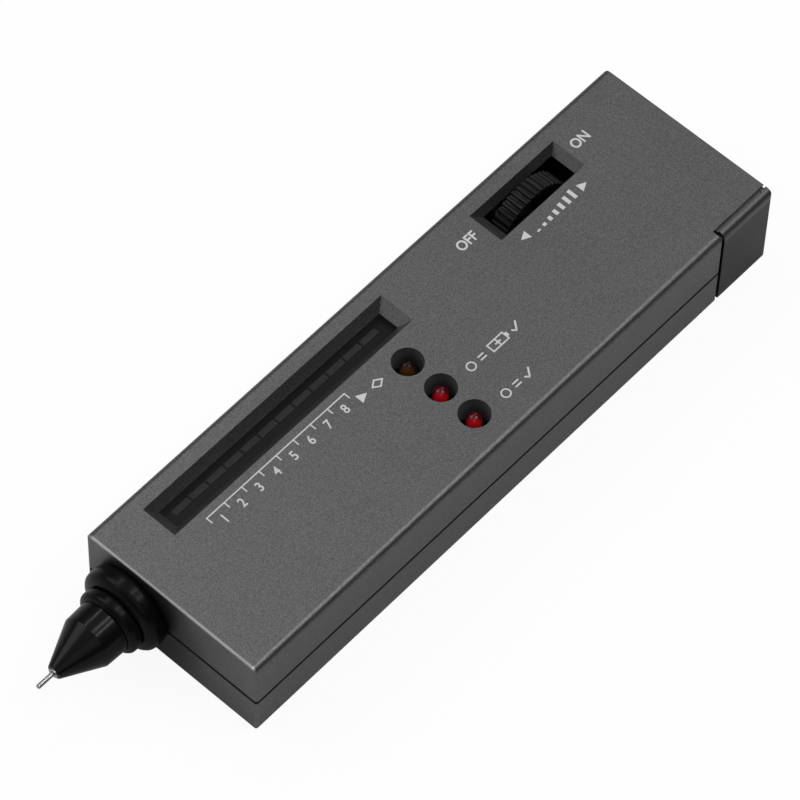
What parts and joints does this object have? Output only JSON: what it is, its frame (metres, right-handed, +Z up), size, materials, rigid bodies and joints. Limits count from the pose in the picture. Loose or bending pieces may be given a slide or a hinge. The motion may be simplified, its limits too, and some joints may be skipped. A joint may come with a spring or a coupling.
{
  "type": "handheld diamond tester",
  "caption": "Flat handheld gem tester with a recessed bar display, signal lamps, a thumbwheel, a sliding battery cover and a spring-loaded needle in a nose cone.",
  "frame": {"origin": "centre of the case's resting face, on the underside", "axes": "+X along the case towards the battery cover, the probe points to -X; +Y towards the side with the display and the thumbwheel; +Z up through the top face"},
  "size_m": [0.1584, 0.04, 0.0203],
  "materials": {
    "case_grey": "fine moulded texture, dark grey",
    "cover_grey": "smooth satin, darker grey",
    "window_smoke": "smoked clear plastic",
    "bar_lens": "unlit lamp lens",
    "lamp_amber": "unlit tinted lamp",
    "lamp_red": "unlit tinted lamp",
    "wheel_black": "satin black",
    "collar_black": "polished black",
    "cone_black": "polished black",
    "needle_steel": "polished metal",
    "holder_brass": "turned",
    "heater_white": "fired",
    "spring_steel": "drawn wire",
    "plug_brown": "moulded",
    "lead_grey": "soft insulation",
    "lead_red": "soft insulation",
    "lead_black": "soft insulation",
    "screw_steel": "plated",
    "shaft_brass": "turned",
    "control_brown": "pressed laminate",
    "board_green": "solder mask",
    "chip_black": "moulded",
    "capacitor_blue": "shrunk sleeve",
    "trimmer_blue": "moulded",
    "battery_jacket": "lacquered jacket",
    "snap_black": "soft moulding"
  },
  "bodies": {
    "case": {"upper_case": "case_grey", "lower_case": "case_grey", "display_window": "window_smoke", "alert_lamp": "lamp_amber", "battery_lamp": "lamp_red", "ready_lamp": "lamp_red", "potentiometer": "control_brown", "circuit_board": "board_green", "bar_driver_chip": "chip_black", "amplifier_chip": "chip_black", "buzzer": "chip_black", "filter_capacitor": "capacitor_blue", "trimmer": "trimmer_blue", "battery": "battery_jacket", "battery_snap": "snap_black", "battery_lead_red": "lead_red", "battery_lead_black": "lead_black", "probe_collar": "collar_black", "nose_cone": "cone_black", "tip_bush": "needle_steel", "probe_holder": "holder_brass", "probe_spring": "spring_steel", "probe_plug": "plug_brown", "probe_lead_front": "lead_grey", "probe_lead_rear": "lead_grey", "case_screws": "screw_steel", "board_screws": "screw_steel", "bar_holder": "chip_black", "cover_seal": "snap_black", "bar_lamp_01": "bar_lens", "bar_lamp_02": "bar_lens", "bar_lamp_03": "bar_lens", "bar_lamp_04": "bar_lens", "bar_lamp_05": "bar_lens", "bar_lamp_06": "bar_lens", "bar_lamp_07": "bar_lens", "bar_lamp_08": "bar_lens", "bar_lamp_09": "bar_lens", "bar_lamp_10": "bar_lens", "bar_lamp_11": "bar_lens", "bar_lamp_12": "bar_lens"},
    "wheel": {"volume_wheel": "wheel_black", "wheel_screw": "screw_steel", "volume_shaft": "shaft_brass"},
    "cover": {"battery_cover": "cover_grey"},
    "needle": {"probe_needle": "needle_steel", "probe_heater": "heater_white"}
  },
  "joints": [
    {"name": "wheel_turn", "type": "hinge", "parent": "case", "child": "wheel", "pos_m": [0.03765, 0.01227, 0.011], "axis": [0, 1, 0], "range_deg": [0, 290]},
    {"name": "cover_slide", "type": "slide", "parent": "case", "child": "cover", "axis": [1, 0, 0], "range_m": [0, 0.016]},
    {"name": "needle_press", "type": "slide", "parent": "case", "child": "needle", "axis": [1, 0, 0], "range_m": [0, 0.0012], "stiffness_N_per_m": 250, "springref_m": -0.004, "deforming": ["probe_spring"]}
  ]
}
